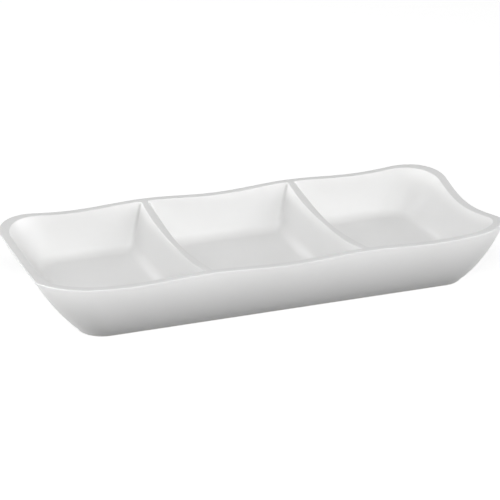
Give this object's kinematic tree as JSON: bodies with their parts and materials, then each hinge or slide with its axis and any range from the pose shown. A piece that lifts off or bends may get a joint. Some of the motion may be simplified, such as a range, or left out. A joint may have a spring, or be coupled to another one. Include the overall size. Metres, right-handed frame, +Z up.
{
  "type": "divided serving bowl",
  "caption": "Long white glazed serving bowl with a wavy rounded rim, compartments parted by low dividers with dipping crests, and a low foot ring; holds snacks, dips or relishes side by side.",
  "frame": {"origin": "centre of the dish in plan, on the table under the foot ring", "axes": "+X along the length of the dish, +Y across it towards the back of the picture, +Z up"},
  "size_m": [0.2554, 0.1144, 0.0322],
  "materials": {
    "white_glaze": "gloss",
    "foot_glaze": "satin"
  },
  "bodies": {
    "root": {"dish_shell": "white_glaze", "left_divider": "white_glaze", "right_divider": "white_glaze", "foot_ring": "foot_glaze"}
  },
  "joints": []
}
